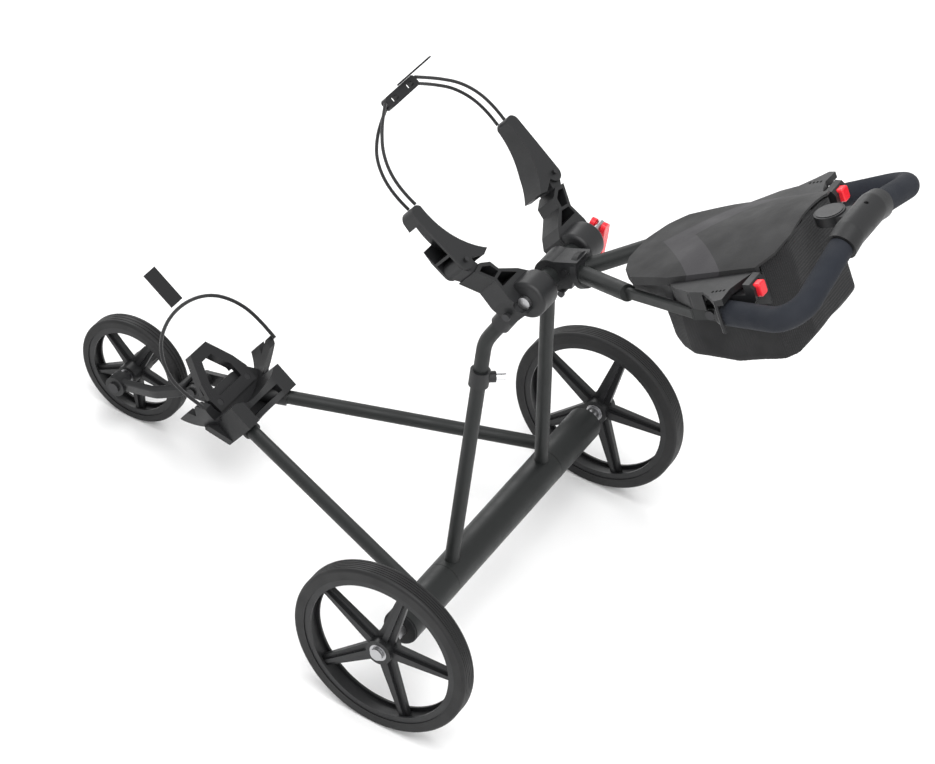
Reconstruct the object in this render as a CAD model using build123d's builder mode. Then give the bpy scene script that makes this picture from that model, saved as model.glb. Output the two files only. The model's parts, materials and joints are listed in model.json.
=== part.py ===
from build123d import *
import math
import os

os.makedirs("parts", exist_ok=True)

# Three-wheel folding golf push cart with a storage console on its handle.
# +X is the way the cart is pushed, +Y is its left side, +Z is up.
# Every X below is counted from the rear axle; the origin lies on the floor,
# under the middle of the cart's length. All sizes are in millimetres.

# ---- overall sizes ----
wheel_base = 662.0
track = 655.0
rear_wheel_radius = 145.5
rear_tyre_width = 31.0
front_wheel_radius = 95.0
front_tyre_width = 27.0
hub_height = 661.5
hub_setback = 28.0
lean = 32.5
handle_rise = 31.5
console_rise = 29.0

# ---- tubes ----
axle_tube_d = 56.5
axle_tube_wall = 3.0
center_tube_half = 156.0
sleeve_end = 279.0
upright_d = 22.0
lower_tube_d = 22.0
handle_tube_d = 25.0
tube_wall = 2.0
upright_foot_y = 139.0
upright_bend_y = 93.0
upright_bend_drop = 100.0
upright_bend_x = 23.0
upright_top_y = 68.0
lower_tube_foot_y = 209.0

# ---- fits ----
running_gap = 0.05
seam_gap = 0.6
body_gap = 0.5

# ---- rear axle and wheels ----
axle_rod_d = 12.0
axle_collar_d = 22.0
bush_flange = 3.0
bush_length = 30.0
rear_hub_d = 42.0
rear_hub_half = 16.0
bearing_d = 28.0
bearing_width = 9.0
spoke_count = 5
rear_spoke_angle = 29.5
front_spoke_angle = 42.5
tyre_depth = 18.0
rim_wall = 4.0
rim_lip = 6.0
rim_lip_width = 3.5
groove_depth = 1.0
groove_width = 2.2
groove_count = 5

# ---- front wheel and fork ----
front_hub_d = 34.0
front_hub_half = 24.0
front_tyre_depth = 13.0
fork_pivot_x = 540.0
fork_pivot_z = 128.0
fork_pin_d = 8.0
fork_barrel_d = 26.0
fork_barrel_half = 16.0
fork_arm_y = 47.0
fork_boss_d = 34.0
fork_boss_width = 22.0
fork_arm_height = 24.0
fork_arm_width = 11.0
knob_d = 32.0
knob_length = 18.0
knob_ribs = 16

# ---- lower bracket, in the frame of the bag's own axis ----
bracket_x = 475.2
bracket_z = 182.8
bag_foot_u = 64.0
bag_foot_r = 108.0
bracket_plate = 12.0
saddle_back_u = -74.0
saddle_front_u = -30.0
saddle_half = 66.0
saddle_top_v = 14.0
scoop_r = 52.0
pocket_half = 38.0
wing_wall = 12.0
horn_tip_u = 9.0
horn_tip_v = 4.0
horn_width = 14.0
horn_foot_u = -32.0
horn_foot_v = -26.0
wing_top_v = -22.0
socket_d = 29.0
socket_y = 50.5
socket_length = 36.0
hoop_v = -28.0
hoop_plate = 8.0
hoop_front_u = 71.0
hoop_front_half = 21.0
hoop_back_half = 50.0
screw_y = 38.0
screw_head_d = 11.0
screw_head = 3.0
lug_wall = 8.0
lug_radius = 11.0
strap_cord_d = 6.0
strap_horn_y = 94.0
label_length = 72.0
label_width = 28.0
label_thickness = 3.0

# ---- upper hub and bag cradle ----
barrel_d = 30.0
bulb_d = 58.0
bulb_inner_y = 46.0
bulb_outer_y = 90.0
arm_width = 40.0
arm_wall = 4.0
arm_floor = 6.0
elbow_u = 101.0
elbow_y = 126.0
elbow_pin_d = 7.0
elbow_boss_d = 27.0
bag_top_u = 187.0
bag_top_r = 122.0
pad_tip_u = 198.0
pad_outer_y = 142.0
pad_wall = 4.0
pad_tip_height = 22.0
bungee_d = 5.0
buckle_u = 333.0
buckle_v = -4.0
buckle_half = 40.0
tag_length = 60.0
tag_width = 26.0
cross_rod_d = 10.0
lever_y = 125.0
lever_length = 58.0
lever_width = 26.0
lever_pin_d = 5.0
lever_slot_depth = 10.4
stub_drop = 307.0
stub_d = 10.0
stub_free = 15.0
stub_root_d = 8.0
stub_root = 11.0
stub_collar = 24.0
stub_sleeve_d = 30.0

# ---- handle, console and grip ----
yoke_half = 20.0
yoke_d = 52.0
collar_d = 53.0
collar_back = 36.0
collar_width = 10.0
handle_run = 163.0
handle_drop = 5.6
rail_front_y = 73.5
bolt_s = 172.0
bolt_y = 133.0
rail_turn_s = 144.0
bolt_d = 7.0
rail_height = 17.0
rail_thickness = 9.0
frame_half = 102.0
frame_front_half = 54.0
frame_front_h = 14.5
frame_rear_h = 44.0
frame_rear_s = 262.0
frame_wall = 4.0
bag_front_s = 50.0
bag_rear_s = 272.0
bag_wall = 2.5
bag_depth = 96.0
bag_hem_h = 8.0
lid_front_s = -12.0
lid_rear_s = 276.0
lid_reach = 112.0
lid_wall = 3.5
lid_front_side = 12.0
lid_rear_side = 3.0
lid_front_crown = 3.0
lid_rear_crown = 31.0
cheek_inner_y = 109.0
cheek_link_h = 17.0
cheek_window_h = 20.0
arch_gap = 1.2
wing_y = 176.0
lip_h = -8.0
comb_start_s = 192.0
comb_pitch = 6.0
comb_teeth = 4
comb_y = 150.0
grip_core_d = 22.0
foam_d = 34.4
grip_y = 190.0
grip_corner_s = 334.0
grip_corner_h = 16.0
grip_start_y = 151.2
grip_start_h = 10.9
foam_lead = 8.6
grip_back_s = 350.0
grip_rise = 58.6
grip_inner_y = 34.5
grip_bend_r = 38.0
grip_middle_r = 60.0
clamp_d = 43.0
clamp_sleeve = 26.0
disc_d = 44.0
disc_s = 308.0
disc_h = 75.5
button_s = 248.0
button_h = 33.0
button_y = 127.0
button_length = 22.0
button_travel = 4.0
button_width = 17.0
button_height = 20.0

# ---- derived places ----
lean_cos = math.cos(math.radians(lean))
lean_sin = math.sin(math.radians(lean))
rise_cos = math.cos(math.radians(handle_rise))
rise_sin = math.sin(math.radians(handle_rise))
slope_cos = math.cos(math.radians(console_rise))
slope_sin = math.sin(math.radians(console_rise))
console_x = -hub_setback - handle_run * rise_cos
console_z = hub_height + handle_run * rise_sin - handle_drop
rear_reach = -console_x + grip_back_s * slope_cos - grip_rise * slope_sin + clamp_d / 2
axle_x = -(wheel_base + front_wheel_radius - rear_reach) / 2
axle_z = rear_wheel_radius


def at(x, y, z):
    return Vector(x + axle_x, y, z)


def bag_plane(x, z, v):
    """Plane across the bag's axis: local x leans up the cart, local y is +Y, v is along the bag."""
    origin = at(x - v * lean_sin, 0, z + v * lean_cos)
    return Plane(origin=origin, x_dir=(lean_cos, 0, lean_sin), z_dir=(-lean_sin, 0, lean_cos))


def cradle(v):
    return bag_plane(-hub_setback, hub_height, v)


def bracket(v):
    return bag_plane(bracket_x, bracket_z, v)


def console(h):
    """Plane of the handle rails: local x points forward and down, local y is +Y."""
    origin = at(console_x + h * slope_sin, 0, console_z + h * slope_cos)
    return Plane(origin=origin, x_dir=(slope_cos, 0, -slope_sin), z_dir=(slope_sin, 0, slope_cos))


def on_console(s, y, h):
    return console(0).from_local_coords(Vector(-s, y, h))


def on_cradle(u, y, v):
    return cradle(0).from_local_coords(Vector(u, y, v))


def on_bracket(u, y, v):
    return bracket(0).from_local_coords(Vector(u, y, v))


def across(point):
    """Plane at a point whose normal is +Y."""
    return Plane(origin=point, x_dir=(1, 0, 0), z_dir=(0, 1, 0))


def side_plane(y):
    """Upright plane along the cart: local x is +X, local y is +Z, normal is -Y."""
    return Plane(origin=at(0, y, 0), x_dir=(1, 0, 0), z_dir=(0, -1, 0))


def other_side(left):
    with BuildPart() as right:
        mirror(left.part, about=Plane.XZ)
    return right


def rod(point, direction, diameter, length, mode=Mode.ADD):
    """Round bar that starts at a point and runs along a direction."""
    with BuildSketch(Plane(origin=point, z_dir=direction)) as disc:
        Circle(diameter / 2)
    extrude(disc.sketch, amount=length, mode=mode)


def bent_tube(points, radii, diameter, bore):
    """Round tube along straight runs joined by arcs."""
    with BuildLine() as route:
        FilletPolyline(*points, radius=radii)
    start = Plane(origin=route.line @ 0, z_dir=route.line % 0)
    with BuildSketch(start) as section:
        Circle(diameter / 2)
        if bore > 0:
            Circle(bore / 2, mode=Mode.SUBTRACT)
    sweep(section.sketch, path=route.line)


def soft_radii(points):
    """One bend radius for each inner point of a cord's route."""
    radii = []
    for before, here, after in zip(points, points[1:], points[2:]):
        turn = (here - before).get_angle(after - here)
        run = min((here - before).length, (after - here).length)
        radii.append(0.45 * run / math.tan(math.radians(turn / 2)))
    return radii


def cord(name, points, diameter):
    """Cord along a route chosen by hand, with its radii and volume printed."""
    radii = soft_radii(points)
    with BuildPart() as piece:
        bent_tube(points, radii, diameter, 0)
    with BuildLine() as route:
        FilletPolyline(*points, radius=radii)
    length = route.wire().length
    expected = math.pi * diameter ** 2 / 4 * length
    print(name, "length", round(length, 1), "radii", [round(r) for r in radii],
          "volume ratio", round(piece.part.volume / expected, 4))
    return piece


# ---- rear axle ----
axle_mid = at(0, 0, axle_z)
bush_d = axle_tube_d - 2 * axle_tube_wall
sleeve_start = center_tube_half + seam_gap
wheel_y = track / 2
hub_inner_y = wheel_y - rear_hub_half
hub_outer_y = wheel_y + rear_hub_half

with BuildPart() as axle_center_tube:
    with BuildSketch(across(at(0, -center_tube_half, axle_z))):
        Circle(axle_tube_d / 2)
        Circle(bush_d / 2, mode=Mode.SUBTRACT)
    extrude(amount=2 * center_tube_half)

with BuildPart() as axle_sleeve_left:
    with BuildSketch(across(at(0, sleeve_start, axle_z))):
        Circle(axle_tube_d / 2)
        Circle(bush_d / 2, mode=Mode.SUBTRACT)
    extrude(amount=sleeve_end - sleeve_start)
axle_sleeve_right = other_side(axle_sleeve_left)

with BuildPart() as axle_bushes:
    for side in (1, -1):
        outward = (0, side, 0)
        rod(at(0, side * sleeve_start, axle_z), outward, bush_d, bush_length)
        rod(at(0, side * sleeve_start, axle_z), (0, -side, 0), bush_d - 2 * running_gap, bush_length)
        rod(at(0, side * (sleeve_end - bush_length), axle_z), outward, bush_d, bush_length)
        rod(at(0, side * sleeve_end, axle_z), outward, axle_tube_d - 2, bush_flange)
    rod(at(0, -sleeve_end - bush_flange, axle_z), (0, 1, 0), axle_rod_d, 2 * sleeve_end + 2 * bush_flange,
        mode=Mode.SUBTRACT)

with BuildPart() as rear_axle_rod:
    rod(at(0, -hub_outer_y - 4, axle_z), (0, 1, 0), axle_rod_d, 2 * hub_outer_y + 8)
    for side in (1, -1):
        collar_length = hub_inner_y - body_gap - sleeve_end - bush_flange
        rod(at(0, side * (sleeve_end + bush_flange), axle_z), (0, side, 0), axle_collar_d, collar_length)
        rod(at(0, side * (hub_outer_y + body_gap), axle_z), (0, side, 0), axle_collar_d - 2, 5)


# ---- wheels ----
def wheel_section(center):
    """Plane whose local x is the wheel's radius and local y its axle, with the axle's axis."""
    return Plane(origin=center, x_dir=(1, 0, 0), z_dir=(0, 0, 1)), Axis(center, (0, 1, 0))


def make_tyre(center, radius, depth, width, lines):
    section, axle = wheel_section(center)
    shoulder = width / 6
    half = width / 2
    seat = radius - depth
    with BuildPart() as tyre:
        with BuildSketch(section):
            with BuildLine():
                Polyline((seat, -half), (radius - shoulder, -half))
                RadiusArc((radius - shoulder, -half), (radius, -half + shoulder), -shoulder)
                Polyline((radius, -half + shoulder), (radius, half - shoulder))
                RadiusArc((radius, half - shoulder), (radius - shoulder, half), -shoulder)
                Polyline((radius - shoulder, half), (seat, half), (seat, -half))
            make_face()
            pitch = (width - 2 * shoulder) / lines
            with Locations((radius, 0)):
                with GridLocations(0, pitch, 1, lines):
                    Rectangle(2 * groove_depth, groove_width / 2, mode=Mode.SUBTRACT)
        revolve(axis=axle)
    return tyre


def spoke_outline(angle, root, tip, reach):
    """Corners of one tapered spoke that points along an angle of the wheel's face."""
    turn_cos, turn_sin = math.cos(math.radians(angle)), math.sin(math.radians(angle))
    corners = [(0, -root), (reach, -tip), (reach, tip), (0, root)]
    return [(x * turn_cos - y * turn_sin, x * turn_sin + y * turn_cos) for x, y in corners]


def make_rim(center, radius, width, hub_d, hub_half, bore, first_spoke):
    section, axle = wheel_section(center)
    half = width / 2
    floor = radius - rim_wall
    face = across(center)
    hub_r = hub_d / 2
    root = hub_d * 0.36
    tip = hub_d * 0.2
    with BuildPart() as rim:
        with BuildSketch(section):
            with Locations((radius - rim_wall / 2, 0)):
                Rectangle(rim_wall, width)
            with Locations((floor - rim_lip / 2, half - rim_lip_width / 2),
                           (floor - rim_lip / 2, rim_lip_width / 2 - half)):
                Rectangle(rim_lip, rim_lip_width)
        revolve(axis=axle)
        with BuildSketch(face.offset(-hub_half)):
            Circle(hub_r)
        extrude(amount=2 * hub_half)
        for thickness, share in ((8, 1.0), (18, 0.34)):
            for number in range(spoke_count):
                angle = number * 360 / spoke_count - first_spoke
                with BuildSketch(face.offset(-thickness / 2)):
                    with BuildLine():
                        Polyline(*spoke_outline(angle, root * share, tip * share, floor + 1), close=True)
                    make_face()
                extrude(amount=thickness)
        rod(center - Vector(0, hub_half, 0), (0, 1, 0), bore, 2 * hub_half, mode=Mode.SUBTRACT)
    return rim


def make_bearings(center, hub_half, outer, inner):
    with BuildPart() as bearings:
        for side in (1, -1):
            with BuildSketch(Plane(origin=center + Vector(0, side * hub_half, 0), z_dir=(0, -side, 0))):
                Circle(outer / 2)
                Circle(inner / 2, mode=Mode.SUBTRACT)
            extrude(amount=bearing_width)
    return bearings


rear_center = at(0, wheel_y, axle_z)
rear_rim_r = rear_wheel_radius - tyre_depth
rear_tyre_left = make_tyre(rear_center, rear_wheel_radius, tyre_depth, rear_tyre_width, groove_count)
rear_rim_left = make_rim(rear_center, rear_rim_r, rear_tyre_width - 3, rear_hub_d, rear_hub_half, bearing_d,
                         rear_spoke_angle)
rear_bearings_left = make_bearings(rear_center, rear_hub_half, bearing_d, axle_rod_d + 2 * running_gap)
rear_tyre_right = other_side(rear_tyre_left)
rear_rim_right = other_side(rear_rim_left)
rear_bearings_right = other_side(rear_bearings_left)

front_center = at(wheel_base, 0, front_wheel_radius)
front_rim_r = front_wheel_radius - front_tyre_depth
front_tyre = make_tyre(front_center, front_wheel_radius, front_tyre_depth, front_tyre_width, 3)
front_rim = make_rim(front_center, front_rim_r, front_tyre_width - 3, front_hub_d, front_hub_half,
                     bearing_d - 4, front_spoke_angle)
front_bearings = make_bearings(front_center, front_hub_half, bearing_d - 4, axle_rod_d + 2 * running_gap)

# ---- base frame: lower tubes ----
socket_mouth = on_bracket(saddle_back_u - 6, socket_y, -3)
lower_foot = at(0, lower_tube_foot_y, axle_z)
lower_run = socket_mouth - lower_foot
lower_dir = lower_run.normalized()
socket_end = socket_mouth + lower_dir * socket_length

with BuildPart() as lower_tube_left:
    with BuildSketch(Plane(origin=lower_foot, z_dir=lower_dir)):
        Circle(lower_tube_d / 2)
        Circle(lower_tube_d / 2 - tube_wall, mode=Mode.SUBTRACT)
    extrude(amount=lower_run.length + socket_length - 4)
    rod(at(0, 0, axle_z), (0, 1, 0), axle_tube_d, sleeve_end + 40, mode=Mode.SUBTRACT)
lower_tube_right = other_side(lower_tube_left)

# ---- base frame: lower bracket ----
floor_v = hoop_v - hoop_plate - bracket_plate
wing_r = bag_foot_r + wing_wall
tip_outer_y = math.sqrt(wing_r ** 2 - (bag_foot_u - horn_tip_u) ** 2)
wing_reach = wing_r + 10


def wing_sketch(plane, back_u):
    """Two arcs round the foot of the bag, from a given place up to the horn tips."""
    with BuildSketch(plane) as arcs:
        with Locations((bag_foot_u, 0)):
            Circle(wing_r)
            Circle(bag_foot_r, mode=Mode.SUBTRACT)
        with Locations((back_u, 0)):
            Rectangle(horn_tip_u - back_u, 2 * wing_reach, align=(Align.MIN, Align.CENTER), mode=Mode.INTERSECT)
    return arcs.sketch


bracket_side = Plane(origin=on_bracket(0, wing_reach, 0), x_dir=(lean_cos, 0, lean_sin), z_dir=(0, -1, 0))
nose_u = 10.0

with BuildPart() as horns:
    extrude(wing_sketch(bracket(floor_v), horn_foot_u - 4), amount=horn_tip_v - floor_v)
    with BuildSketch(bracket_side):
        with BuildLine():
            Polyline((horn_tip_u - horn_width, horn_tip_v), (horn_tip_u, horn_tip_v), (horn_tip_u + 1, 0),
                     (horn_foot_u + horn_width + 8, horn_foot_v - 6), (horn_foot_u - 6, horn_foot_v - 6),
                     (horn_foot_u, horn_foot_v), close=True)
        make_face()
    extrude(amount=2 * wing_reach, mode=Mode.INTERSECT)

lug_inner = fork_barrel_half + body_gap
lug_foot = on_bracket(-34, 0, floor_v + 4)
lug_root = on_bracket(6, 0, floor_v + 4)

with BuildPart() as lower_bracket:
    with BuildSketch(bracket(floor_v)):
        with BuildLine():
            Polyline((saddle_back_u, -saddle_half), (saddle_front_u, -82), (0, -56), (8, -24), (8, 24),
                     (0, 56), (saddle_front_u, 82), (saddle_back_u, saddle_half), close=True)
        make_face()
    extrude(amount=bracket_plate)
    with BuildSketch(bracket(floor_v)):
        with Locations((saddle_back_u, 0)):
            Rectangle(saddle_front_u - saddle_back_u, 2 * saddle_half, align=(Align.MIN, Align.CENTER))
        with Locations((bag_foot_u, 0)):
            Circle(bag_foot_r, mode=Mode.SUBTRACT)
    extrude(amount=saddle_top_v - floor_v)
    with BuildSketch(Plane(origin=on_bracket(saddle_back_u, 0, saddle_top_v + 34), z_dir=(lean_cos, 0, lean_sin))):
        Circle(scoop_r)
    extrude(amount=60, mode=Mode.SUBTRACT)
    with BuildSketch(bracket(saddle_top_v)):
        with Locations((saddle_back_u + 9, 0)):
            Rectangle(13, 2 * pocket_half, align=(Align.MIN, Align.CENTER))
    extrude(amount=-42, mode=Mode.SUBTRACT)
    extrude(wing_sketch(bracket(floor_v), saddle_front_u - 20), amount=wing_top_v - floor_v)
    add(horns.part)
    for side in (1, -1):
        mouth = Vector(socket_mouth.X, side * socket_mouth.Y, socket_mouth.Z)
        along = Vector(lower_dir.X, side * lower_dir.Y, lower_dir.Z)
        rod(mouth, along, socket_d, socket_length + 6)
    with BuildSketch(bracket_side):
        with BuildLine():
            Polyline((saddle_back_u - 20, saddle_top_v + 10), (saddle_back_u - 20, floor_v - 20),
                     (horn_foot_u - 6, floor_v), (nose_u, floor_v + 2), (nose_u, floor_v + bracket_plate),
                     (horn_tip_u, horn_foot_v + 2), (horn_tip_u + 2, saddle_top_v + 10), close=True)
        make_face()
    extrude(amount=2 * wing_reach, mode=Mode.INTERSECT)
    for side in (1, -1):
        mouth = Vector(socket_mouth.X, side * socket_mouth.Y, socket_mouth.Z)
        along = Vector(lower_dir.X, side * lower_dir.Y, lower_dir.Z)
        rod(mouth - along * 6, along, lower_tube_d, socket_length + 2, mode=Mode.SUBTRACT)
    for side in (1, -1):
        inner = lug_inner if side > 0 else -lug_inner - lug_wall
        with BuildSketch(side_plane(inner)):
            with BuildLine():
                Polyline((lug_foot.X - axle_x, lug_foot.Z), (fork_pivot_x, fork_pivot_z - lug_radius),
                         (fork_pivot_x, fork_pivot_z + lug_radius), (lug_root.X - axle_x, lug_root.Z), close=True)
            make_face()
            with Locations((fork_pivot_x, fork_pivot_z)):
                Circle(lug_radius)
        extrude(amount=-lug_wall)
    rod(at(fork_pivot_x, -lug_inner - lug_wall - 1, fork_pivot_z), (0, 1, 0), fork_pin_d,
        2 * lug_inner + 2 * lug_wall + 2, mode=Mode.SUBTRACT)

with BuildPart() as bag_base_hoop:
    with BuildSketch(bracket(hoop_v - hoop_plate)):
        with BuildLine():
            Polyline((-26, -hoop_back_half), (0, -hoop_back_half - 2), (26, -hoop_back_half + 6),
                     (hoop_front_u, -hoop_front_half), (hoop_front_u, hoop_front_half),
                     (26, hoop_back_half - 6), (0, hoop_back_half + 2), (-26, hoop_back_half), close=True)
        make_face()
        with Locations((bag_foot_u, 0)):
            Circle(bag_foot_r - 1, mode=Mode.INTERSECT)
    extrude(amount=hoop_plate)
    with BuildSketch(bracket(hoop_v - 2 * hoop_plate)):
        with BuildLine():
            Polyline((nose_u + 1, -hoop_back_half), (26, -hoop_back_half + 6), (hoop_front_u, -hoop_front_half),
                     (hoop_front_u, hoop_front_half), (26, hoop_back_half - 6), (nose_u + 1, hoop_back_half),
                     close=True)
        make_face()
    extrude(amount=hoop_plate)
    with BuildSketch(bracket(hoop_v - 2 * hoop_plate)):
        with BuildLine():
            Polyline((-6, -30), (18, -30), (hoop_front_u - 20, -12), (hoop_front_u - 20, 12), (18, 30),
                     (-6, 30), close=True)
        make_face()
    extrude(amount=2 * hoop_plate, mode=Mode.SUBTRACT)
    with BuildSketch(bracket(hoop_v - hoop_plate)):
        with Locations((-14, screw_y), (-14, -screw_y)):
            Circle(3)
    extrude(amount=hoop_plate, mode=Mode.SUBTRACT)
    for side in (1, -1):
        rod(on_bracket(-14, side * screw_y, hoop_v - body_gap - screw_head), (-lean_sin, 0, lean_cos),
            screw_head_d, screw_head + 2, mode=Mode.SUBTRACT)

with BuildPart() as bracket_screws:
    for side in (1, -1):
        rod(on_bracket(-14, side * screw_y, hoop_v - body_gap), (lean_sin, 0, -lean_cos), 6, hoop_plate - body_gap)
        rod(on_bracket(-14, side * screw_y, hoop_v - body_gap), (lean_sin, 0, -lean_cos), screw_head_d, screw_head)

with BuildPart() as fork_pivot_pin:
    pin_half = lug_inner + lug_wall
    rod(at(fork_pivot_x, -pin_half, fork_pivot_z), (0, 1, 0), fork_pin_d, 2 * pin_half)
    for side in (1, -1):
        rod(at(fork_pivot_x, side * pin_half, fork_pivot_z), (0, side, 0), fork_pin_d + 6, 3)

# ---- elastic strap round the foot of the bag ----
strap_route = [on_bracket(horn_tip_u - 7, strap_horn_y + 8, horn_tip_v + 4.6), on_bracket(45, 110, 2), on_bracket(86, 100, 0), on_bracket(121, 70, 0),
               on_bracket(142, 26, 0), on_bracket(142, -26, 0), on_bracket(121, -70, 0),
               on_bracket(86, -100, 0), on_bracket(45, -110, 2),
               on_bracket(horn_tip_u - 7, -strap_horn_y - 8, horn_tip_v + 4.6)]
lower_strap_cord = cord("lower_strap_cord", strap_route, strap_cord_d)

with BuildPart() as lower_strap_label:
    with BuildSketch(bracket(-label_thickness / 2)):
        with Locations((142 + strap_cord_d / 2 + 0.5, -6)):
            Rectangle(label_length - 6, label_width, align=(Align.MIN, Align.CENTER))
    extrude(amount=label_thickness)

# ---- front wheel fork ----
arm_face_y = fork_arm_y - fork_arm_width / 2
boss_face_y = fork_arm_y - fork_boss_width / 2
with BuildPart() as front_fork:
    rod(at(fork_pivot_x, -fork_barrel_half, fork_pivot_z), (0, 1, 0), fork_barrel_d, 2 * fork_barrel_half)
    arm_x = fork_pivot_x + lug_radius + body_gap + fork_arm_width / 2
    arm_points = [at(arm_x, -10, fork_pivot_z - 1), at(arm_x, 30, fork_pivot_z - 2),
                  at(arm_x + 36, fork_arm_y, fork_pivot_z - 14), at(wheel_base, fork_arm_y, front_wheel_radius)]
    with BuildLine() as arm_route:
        FilletPolyline(*arm_points, radius=[14, 40])
    with BuildSketch(Plane(origin=arm_route.line @ 0, x_dir=(1, 0, 0), z_dir=arm_route.line % 0)) as arm_section:
        RectangleRounded(fork_arm_width, fork_arm_height, 4)
    sweep(arm_section.sketch, path=arm_route.line)
    rod(at(wheel_base, boss_face_y, front_wheel_radius), (0, 1, 0), fork_boss_d, fork_boss_width)
    rod(at(fork_pivot_x, -fork_barrel_half - 1, fork_pivot_z), (0, 1, 0), fork_pin_d + 2 * running_gap,
        2 * fork_barrel_half + 2, mode=Mode.SUBTRACT)
    rod(at(wheel_base, boss_face_y - 1, front_wheel_radius), (0, 1, 0), axle_rod_d, fork_boss_width + 2,
        mode=Mode.SUBTRACT)

front_axle_end = -front_hub_half - body_gap - knob_length + 4
with BuildPart() as front_axle:
    rod(at(wheel_base, front_axle_end, front_wheel_radius), (0, 1, 0), axle_rod_d,
        boss_face_y + fork_boss_width - front_axle_end)
    rod(at(wheel_base, front_hub_half + body_gap, front_wheel_radius), (0, 1, 0), axle_collar_d - 4,
        boss_face_y - front_hub_half - body_gap)
    rod(at(wheel_base, boss_face_y + fork_boss_width, front_wheel_radius), (0, 1, 0), axle_collar_d - 4, 4)

knob_start = -front_hub_half - body_gap
with BuildPart() as tracking_knob:
    knob_face = Plane(origin=at(wheel_base, knob_start, front_wheel_radius), x_dir=(1, 0, 0), z_dir=(0, -1, 0))
    with BuildSketch(knob_face):
        Circle(knob_d / 2)
        with PolarLocations(knob_d / 2, knob_ribs):
            Circle(1.6, mode=Mode.SUBTRACT)
    extrude(amount=knob_length)
    rod(at(wheel_base, knob_start, front_wheel_radius), (0, -1, 0), axle_rod_d + 2 * running_gap,
        knob_length - 3, mode=Mode.SUBTRACT)

# ---- uprights ----
upright_foot = at(0, upright_foot_y, axle_z)
upright_bend = at(upright_bend_x, upright_bend_y, hub_height - upright_bend_drop)
bolt_place = on_cradle(1, 0, -26)
upright_top = Vector(bolt_place.X, 84, bolt_place.Z)
top_dir = (upright_top - upright_bend).normalized()

with BuildPart() as upright_left:
    bent_tube([upright_foot, upright_bend, upright_top + top_dir * 8], 60, upright_d, upright_d - 2 * tube_wall)
    rod(at(0, 0, axle_z), (0, 1, 0), axle_tube_d, 2 * center_tube_half, mode=Mode.SUBTRACT)
    rod(upright_top - Vector(0, 40, 0), (0, 1, 0), 6, 80, mode=Mode.SUBTRACT)
upright_right = other_side(upright_left)

# ---- upper hub ----
barrel_mid = at(-hub_setback, 0, hub_height)
with BuildPart() as hub_barrel:
    with BuildSketch(across(barrel_mid - Vector(0, bulb_outer_y - 6, 0))):
        Circle(barrel_d / 2)
        Circle(cross_rod_d / 2, mode=Mode.SUBTRACT)
    extrude(amount=2 * bulb_outer_y - 12)

with BuildPart() as hub_cross_rod:
    rod_end = lever_y + lever_pin_d + 3
    rod(barrel_mid + Vector(0, bulb_outer_y + 0.5, 0), (0, -1, 0), cross_rod_d, bulb_outer_y + 0.5 + rod_end)
    rod(barrel_mid + Vector(0, bulb_outer_y + 0.5, 0), (0, 1, 0), cross_rod_d + 9, 6)
    rod(barrel_mid + Vector(-30, -lever_y, 0), (1, 0, 0), lever_pin_d + 2 * running_gap, 60, mode=Mode.SUBTRACT)

with BuildPart() as cradle_arm_left:
    rod(barrel_mid + Vector(0, bulb_inner_y, 0), (0, 1, 0), bulb_d, bulb_outer_y - bulb_inner_y)
    fillet(edges().filter_by(GeomType.CIRCLE), radius=6)
    with BuildSketch(cradle(-arm_width)):
        with BuildLine():
            Polyline((-14, 50), (27, 44), (41, 58), (60, 87), (75, 91), (84, 108), (80, 127), (50, 108),
                     (22, 111), (-14, 104), close=True)
        make_face()
    extrude(amount=arm_width)
    with BuildSketch(cradle(arm_floor - arm_width)):
        with BuildLine():
            Polyline((38, 64), (57, 91), (71, 96), (78, 109), (75.5, 119), (52, 103), (38, 104), close=True)
        make_face()
        with BuildLine():
            Polyline((54, 86), (58, 88), (55, 106), (51, 104), close=True)
        make_face(mode=Mode.SUBTRACT)
    extrude(amount=arm_width, mode=Mode.SUBTRACT)
    with BuildSketch(cradle(body_gap + pad_wall - arm_width)):
        with Locations((elbow_u, elbow_y)):
            Circle(elbow_boss_d / 2)
        with BuildLine():
            Polyline((elbow_u + 6, elbow_y - 12), (79, 106), (76, 122), (elbow_u - 8, elbow_y + 11), close=True)
        make_face()
    extrude(amount=arm_width - 2 * pad_wall - 2 * body_gap)
    rod(upright_top - top_dir * 44, top_dir, upright_d + 8, 52)
    rod(upright_top - top_dir * 60, top_dir, upright_d, 68, mode=Mode.SUBTRACT)
    rod(barrel_mid, (0, 1, 0), barrel_d, bulb_outer_y - 6, mode=Mode.SUBTRACT)
    rod(barrel_mid, (0, 1, 0), cross_rod_d + 0.6, 200, mode=Mode.SUBTRACT)
    rod(barrel_mid + Vector(0, bulb_outer_y, 0), (0, 1, 0), cross_rod_d + 10, 60, mode=Mode.SUBTRACT)
    rod(on_cradle(elbow_u, elbow_y, -arm_width - 5), (-lean_sin, 0, lean_cos), elbow_pin_d, arm_width + 10,
        mode=Mode.SUBTRACT)
    rod(upright_top + Vector(0, -40, 0), (0, 1, 0), 6, 80, mode=Mode.SUBTRACT)
cradle_arm_right = other_side(cradle_arm_left)

with BuildPart() as cradle_bolts:
    for side in (1, -1):
        foot = Vector(upright_top.X, side * (upright_top.Y - 12), upright_top.Z)
        rod(foot, (0, side, 0), 6, 40)
        rod(foot + Vector(0, side * 40, 0), (0, side, 0), 12, 4)
        pin_foot = on_cradle(elbow_u, side * elbow_y, -arm_width)
        rod(pin_foot, (-lean_sin, 0, lean_cos), elbow_pin_d, arm_width + 5)

pad_bore = elbow_pin_d + 2 * running_gap
cradle_side = Plane(origin=on_cradle(0, 200, 0), x_dir=(lean_cos, 0, lean_sin), z_dir=(0, -1, 0))


def on_bag_top(u):
    """Distance from the cart's middle to the bag's side at the upper cradle."""
    return math.sqrt(bag_top_r ** 2 - (bag_top_u - u) ** 2)


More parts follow.
